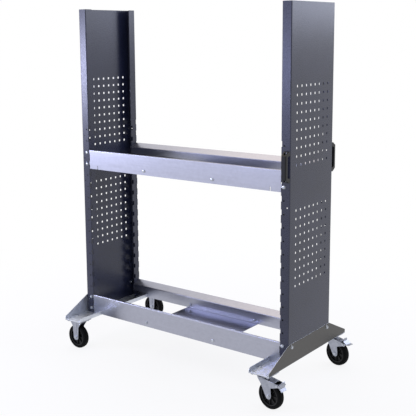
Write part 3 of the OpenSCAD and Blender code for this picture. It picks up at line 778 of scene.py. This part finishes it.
@dataclass
class Fasteners(SubAssembly):
    """Bolts and nuts of the frame, at places read from the boxes of their CAD nodes."""

    size: BoltSize = field(default_factory=BoltSize)
    screw: ScrewSize = field(default_factory=ScrewSize)
    # Two sheets of 2 mm, which the bolts of the rails, trays and feet hold
    sheets: float = 4.0
    # A caster's plate of 3 mm under a foot's sheet of 2 mm
    plate: float = 5.0
    # Spacing of a caster's bolts along X and Y
    plate_bolts: tuple[float, float] = (80.0, 60.0)
    # What the counterbore leaves of a handle's lug under the screw's head, and the panel behind it
    lug: float = 8.0
    panel: float = 2.0

    def group(self, kind: str, size: BoltSize, seats: list[Seat], grip: float) -> None:
        """Makes the bolts and the nuts of one group.

        Args:
            kind: First word of the CAD nodes.
            size: The bolt.
            seats: The seats, in mm.
            grip: Thickness between the head and the nut.
        """
        bolts = [size.bolt(grip).placed(np.array(place), np.array(out)) for place, out in seats]
        rings = [size.hex_nut().placed(np.array(place) - grip * np.array(out), -np.array(out))
                 for place, out in seats]
        self.made(f"{kind}_threaded_{size.word}", Surface.joined(bolts), Slot.steel_fastener, "frame",
                  [f"{kind}_{size.word}"])
        self.made(f"{kind}_hex_nuts", Surface.joined(rings), Slot.steel_fastener, "frame", [f"{kind}_nuts"])

    def rails(self) -> None:
        """Makes two bolts, one hole row apart, at each end of the four rails."""
        half = self.size.collar / 2
        low, high = corners("rail_bolts")
        tier = (corners("upper_front_rail")[0] - corners("lower_front_rail")[0])[2]
        pitch = high[2] - low[2] - 2 * half - tier
        rows = low[2] + half + np.array([0.0, pitch, tier, tier + pitch])
        self.group("rail", self.size, [
            ((x, end.value * (high[1] - self.size.head), z), (0, end.value, 0))
            for x, end, z in product((low[0] + half, high[0] - half), End, rows)
        ], self.sheets)

    def trays(self) -> None:
        """Makes the two bolts on each side of the two trays."""
        half = self.size.collar / 2
        low, high = corners("tray_bolts")
        self.group("tray", self.size, [
            ((x, end.value * (high[1] - self.size.head), z), (0, end.value, 0))
            for x, end, z in product((low[0] + half, high[0] - half), End, (low[2] + half, high[2] - half))
        ], self.sheets)

    def feet(self) -> None:
        """Makes the two bolts of each foot, whose heads are on its outer side."""
        half, head = self.size.collar / 2, self.size.head
        low, high = corners("foot_bolts")
        self.group("foot", self.size, [
            ((x, y, low[2] + half), (side, 0, 0))
            for (x, side), y in product(((low[0] + head, -1), (high[0] - head, 1)),
                                        (low[1] + half, high[1] - half))
        ], self.sheets)

    def plates(self) -> None:
        """Makes the four bolts of each caster, whose heads are on top of the feet."""
        half = self.size.collar / 2
        low, high = corners("caster_bolts")
        across, along = self.plate_bolts
        self.group("caster", self.size, [
            ((x, y, high[2] - self.size.head), (0, 0, 1))
            for x, y in product(
                (low[0] + half, low[0] + half + across, high[0] - half - across, high[0] - half),
                (low[1] + half, low[1] + half + along, high[1] - half - along, high[1] - half))
        ], self.plate)

    def handles(self) -> None:
        """Makes the two screws of each push handle."""
        half = self.screw.pan / 2
        low, high = corners("handle_screws")
        middle = (low + high) / 2
        self.group("handle", self.screw, [
            ((middle[0], end.value * (high[1] - self.screw.head), z), (0, end.value, 0))
            for end, z in product(End, (low[2] + half, high[2] - half))
        ], self.lug + self.panel)

    def build(self) -> None:
        """Makes the five groups."""
        self.rails()
        self.trays()
        self.feet()
        self.plates()
        self.handles()


# Casters

@dataclass
class WheelSize:
    """A moulded wheel core with a solid tyre, in mm; _half is half a width and _t a thickness."""

    # Radius and half width of the tyre
    radius: float = 62.5
    tyre_half: float = 16.0
    # Half the width of the core's rim, where the tyre sits, and the hair between the two
    seat_half: float = 14.0
    seat_gap: float = 0.05
    # Radii of the core's outside, its bore and its boss
    core: float = 47.0
    bore: float = 6.05
    boss: float = 15.0
    boss_half: float = 18.5
    web_half: float = 4.0
    # Inner radius of the rim
    rim: float = 41.0
    ribs: int = 8
    rib_t: float = 3.0
    rib_half: float = 11.0
    # How far inside the rim's radius its rise begins
    rim_before: float = 1.0
    # Widths over which the web rises to the boss, the rim and a rib
    boss_blend: float = 1.6
    rim_blend: float = 1.2
    rib_blend: float = 0.8
    # Width and height of the rounding at the core's edge
    edge: float = 0.6
    edge_fall: float = 0.5
    # Power of the tyre's section, where 2 is round and more is squarer
    roundness: float = 3.3
    # Radius, depth and width of the ring sunk into each wall
    ring: float = 53.0
    ring_deep: float = 0.6
    ring_wide: float = 0.8
    core_columns: int = 256
    tyre_columns: int = 160
    tyre_rows: int = 61

    def core_surface(self) -> Surface:
        """Height of the face over radius and angle: the web, raised by smooth steps to boss, rim and ribs.

        Returns:
            The core round Z, with its middle at 0.
        """
        turn = turns(self.core_columns)
        # Each band is two radii and a count of rings, which stand closest where the face steps
        bands = ((self.bore, self.boss - 0.5, 4), (self.boss - 0.2, self.boss + 2, 8),
                 (self.boss + 3, self.rim - 2, 12), (self.rim - 1.2, self.rim + 0.6, 7),
                 (self.rim + 1, self.core - self.edge, 4), (self.core - 0.2, self.core, 2))
        radius = np.concatenate([np.linspace(*band) for band in bands])[:, None]
        sector = 2 * np.pi / self.ribs
        across = np.abs(radius * np.sin((turn + sector / 2) % sector - sector / 2))
        boss = (self.boss_half - self.web_half) * (1 - smooth((radius - self.boss) / self.boss_blend))
        rise = self.rim - self.rim_before
        rim = (self.seat_half - self.web_half) * smooth((radius - rise) / self.rim_blend)
        rib = (self.rib_half - self.web_half) * (1 - smooth((across - self.rib_t / 2) / self.rib_blend))
        fall = self.edge_fall * smooth((radius - self.core + self.edge) / self.edge)
        face = self.web_half + np.maximum(np.maximum(boss, rim), rib) - fall
        rows = [(r[0], z) for r, z in zip(radius, face)]
        back = [(r, -z) for r, z in reversed(rows)]
        return Surface.closed(around(turn, rows + back), False)

    def tyre_surface(self) -> Surface:
        """Tread and walls are half a superellipse; a shallow ring is sunk into each wall by a bell curve.

        Returns:
            The tyre round Z, with its middle at 0.
        """
        angle = np.linspace(np.pi / 2, -np.pi / 2, self.tyre_rows)
        bend = 2 / self.roundness
        seat = self.core + self.seat_gap
        radius = seat + (self.radius - seat) * np.abs(np.cos(angle)) ** bend
        wall = self.tyre_half * np.sign(np.sin(angle)) * np.abs(np.sin(angle)) ** bend
        wall -= np.sign(wall) * self.ring_deep * np.exp(-((radius - self.ring) / self.ring_wide) ** 2)
        rows = list(zip(radius, wall)) + [(seat, -self.seat_half), (seat, self.seat_half)]
        return Surface.closed(around(turns(self.tyre_columns), rows), False)


@dataclass
class Caster(SubAssembly):
    """One caster: its pressings, axle and wheel; place and axis come from the frame's joints."""

    end: End = End.front
    mounting: Mounting = Mounting.rigid
    bolt: BoltSize = field(default_factory=BoltSize)
    wheel: WheelSize = field(default_factory=WheelSize)
    # From the wheel's middle to the outer face of a leg
    leg_out: float = 21.5
    # Roundings in mm of the pressed plates and legs, and of the pedal
    plate_edge: float = 0.5
    pedal_edge: float = 0.6

    def build(self) -> None:
        """Makes the wheel and axle and dresses the rest."""
        name = f"{self.end.name}_{self.mounting.name}"
        spin = next(joint for joint in frame["joints"] if joint["name"] == f"{name}_wheel_spin")
        middle, axis = np.array(spin["pos_m"]) / MM, np.array(spin["axis"], float)
        carrier = spin["parent"]
        self.made(f"{name}_ribbed_core", self.wheel.core_surface().placed(middle, axis),
                  Slot.wheel_plastic, spin["child"], [f"{name}_wheel_core"])
        self.made(f"{name}_round_tyre", self.wheel.tyre_surface().placed(middle, axis),
                  Slot.rubber, spin["child"], [f"{name}_tyre"])
        grip = 2 * self.leg_out
        self.made(f"{name}_threaded_axle", self.bolt.bolt(grip).placed(middle - axis * self.leg_out, -axis),
                  Slot.steel_fastener, carrier, [f"{name}_axle_bolt"])
        self.made(f"{name}_hex_nut", self.bolt.hex_nut().placed(middle + axis * self.leg_out, axis),
                  Slot.steel_fastener, carrier, [f"{name}_axle_nut"])
        self.solid(f"{name}_axle_tube", self.small_edge)
        if self.mounting is Mounting.rigid:
            self.solid(f"{name}_bracket", self.plate_edge)
        else:
            self.head()

    def head(self) -> None:
        """Dresses the swivel head, the fork and the brake pedal."""
        end = self.end.name
        self.solid(f"{end}_swivel_plate", self.plate_edge)
        self.solid(f"{end}_fork", self.plate_edge)
        self.solid(f"{end}_brake_pedal", self.pedal_edge)
        for part in ("swivel_race", "swivel_balls", "king_pin", "pedal_pin"):
            self.solid(f"{end}_{part}", self.small_edge)


# Stage

@dataclass(frozen=True)
class SoftBox:
    """A rectangular soft lamp, in metres; glow is its brightness, where 1 is a white surface."""

    name: str
    place: tuple[float, float, float]
    size: tuple[float, float]
    glow: float
    colour: str

    def hang(self, aim: Vector) -> None:
        """Hangs the lamp so that it faces a point; its power is glow by area by pi.

        Args:
            aim: The point.
        """
        data = bpy.data.lights.new(self.name, "AREA")
        data.shape = "RECTANGLE"
        data.size, data.size_y = self.size
        data.energy = self.glow * self.size[0] * self.size[1] * np.pi
        data.color = linear(self.colour)[:3]
        made = bpy.data.objects.new(self.name, data)
        made.location = self.place
        made.rotation_euler = (aim - Vector(self.place)).to_track_quat("-Z", "Y").to_euler()
        made.visible_camera = False
        bpy.context.scene.collection.objects.link(made)


# Each box stands under what the pictures lose without it
SOFT_BOXES = (
    # The highlight on the left panel's front flange, and the sheen on the upper front rail's left end
    SoftBox("left_softbox", (-3.65, -3.15, 1.3), (0.7, 0.65), 46.0, "#d4d8ff"),
    # The highlight on the right panel's front flange, and some on the upper front rail's right end
    SoftBox("front_softbox", (-1.2, -3.2, 1.34), (0.3, 0.6), 24.0, "#bcc4ff"),
    # A few tones on the rails and the lower tray
    SoftBox("fill_softbox", (-2.3, -3.7, 2.2), (3.4, 2.0), 0.45, "#c0c8ff"),
    # The lighter upper part of both panels, and from behind the gleam on the rear rails
    SoftBox("right_softbox", (1.9, 2.7, 2.1), (2.6, 0.8), 4.2, "#dfe6ff"),
    # From behind a few tones on the rails, and from the photograph's side only a trace
    SoftBox("back_softbox", (-2.4, 2.9, 0.5), (2.6, 1.0), 3.5, "#c6d2ff"),
    # The sheen on the tyre seats and trays
    SoftBox("ceiling_softbox", (-1.2, 0.8, 3.2), (3.0, 1.8), 1.0, "#ffe6c8"),
)


@dataclass
class Studio:
    """Camera, soft lamps, pale floor and white background, in metres and degrees."""

    # Where the camera stands, and the way it looks
    place: tuple[float, float, float] = (2.38958, -3.20247, 1.60437)
    azimuth: float = 38.828
    elevation: float = 9.319
    roll: float = -0.686
    # Focal length and sensor width in mm
    lens: float = 71.134
    sensor: float = 36.0
    shift: tuple[float, float] = (0.079, -0.085)
    # What the lamps face
    aim: tuple[float, float, float] = (0.0, 0.0, 0.9)
    floor_half: float = 40.0
    floor_paint: str = "#eeeef0"
    # The floor's share of white near the trolley, how far that reaches, and where it is all white
    floor_near: float = 0.85
    shade_reach: float = 0.7
    white_from: float = 2.6
    # Strength and colour of the even light that comes from all sides
    daylight: float = 0.9
    day_colour: str = "#f1f3ff"

    def camera(self) -> None:
        """Makes the camera at the photograph's angle, from its azimuth, elevation and roll."""
        data = bpy.data.cameras.new("camera")
        data.lens = self.lens
        data.sensor_width = self.sensor
        data.shift_x, data.shift_y = self.shift
        made = bpy.data.objects.new("camera", data)
        made.rotation_euler = (
            Matrix.Rotation(np.radians(self.azimuth), 3, "Z")
            @ Matrix.Rotation(np.radians(90 - self.elevation), 3, "X")
            @ Matrix.Rotation(np.radians(self.roll), 3, "Z")
        ).to_euler()
        made.location = self.place
        bpy.context.scene.collection.objects.link(made)
        bpy.context.scene.camera = made

    @staticmethod
    def seen(tree: bpy.types.NodeTree) -> bpy.types.NodeSocket:
        """Tells what is seen, directly, in metal or through glass, from light that only falls on things.

        Args:
            tree: The node tree that asks.

        Returns:
            A socket that is 1 for what is seen and 0 for other light.
        """
        path = add_node(tree, "ShaderNodeLightPath", {}).outputs
        either = add_node(tree, "ShaderNodeMath", {
            0: path["Is Camera Ray"], 1: path["Is Glossy Ray"],
        }, operation="MAXIMUM").outputs["Value"]
        return add_node(tree, "ShaderNodeMath", {
            0: either, 1: path["Is Transmission Ray"],
        }, operation="MAXIMUM").outputs["Value"]

    def floor(self) -> None:
        """Lays the pale floor: it keeps the shadow near the trolley and turns white further out."""
        half = self.floor_half
        mesh = bpy.data.meshes.new("floor")
        mesh.from_pydata([(-half, -half, 0), (half, -half, 0), (half, half, 0), (-half, half, 0)], [],
                         [(0, 1, 2, 3)])
        piece = bpy.data.objects.new("floor", mesh)
        bpy.context.scene.collection.objects.link(piece)
        # Pale floor paint, so matt that the eye gets only a soft shadow on it
        material = bpy.data.materials.new("pale_painted_floor")
        material.use_nodes = True
        tree = material.node_tree
        tree.nodes.clear()
        place = add_node(tree, "ShaderNodeTexCoord", {}).outputs["Object"]
        away = add_node(tree, "ShaderNodeVectorMath", {0: place}, operation="LENGTH").outputs["Value"]
        white = add_node(tree, "ShaderNodeMapRange", {
            "Value": away, "From Min": self.shade_reach, "From Max": self.white_from,
            "To Min": self.floor_near,
        }, interpolation_type="SMOOTHSTEP").outputs["Result"]
        share = add_node(tree, "ShaderNodeMath", {0: self.seen(tree), 1: white}, operation="MULTIPLY")
        paint = add_node(tree, "ShaderNodeBsdfDiffuse", {"Color": linear(self.floor_paint)})
        glow = add_node(tree, "ShaderNodeEmission", {"Strength": 1.0})
        mixed = add_node(tree, "ShaderNodeMixShader", {
            "Fac": share.outputs["Value"], 1: paint.outputs["BSDF"], 2: glow.outputs["Emission"],
        })
        add_node(tree, "ShaderNodeOutputMaterial", {"Surface": mixed.outputs["Shader"]})
        mesh.materials.append(material)

    def world(self) -> None:
        """White where it is seen, and an even soft light on everything else."""
        made = bpy.data.worlds.new("studio")
        bpy.context.scene.world = made
        made.use_nodes = True
        tree = made.node_tree
        tree.nodes.clear()
        light = add_node(tree, "ShaderNodeBackground", {
            "Color": linear(self.day_colour), "Strength": self.daylight,
        })
        white = add_node(tree, "ShaderNodeBackground", {"Color": linear("#ffffff"), "Strength": 1.0})
        mixed = add_node(tree, "ShaderNodeMixShader", {
            "Fac": self.seen(tree), 1: light.outputs["Background"], 2: white.outputs["Background"],
        })
        add_node(tree, "ShaderNodeOutputWorld", {"Surface": mixed.outputs["Shader"]})

    def build(self) -> None:
        """Sets the whole stage."""
        self.camera()
        for box in SOFT_BOXES:
            box.hang(Vector(self.aim))
        self.floor()
        self.world()
        bpy.context.scene.view_settings.view_transform = "Standard"


def main() -> None:
    """Builds the stage and the sub-assemblies in order."""
    Studio().build()
    wardrobe = Wardrobe()
    Sheetwork(wardrobe).build()
    Fasteners(wardrobe).build()
    for end, mounting in product(End, Mounting):
        Caster(wardrobe, end=end, mounting=mounting).build()


if __name__ == "__main__":
    main()
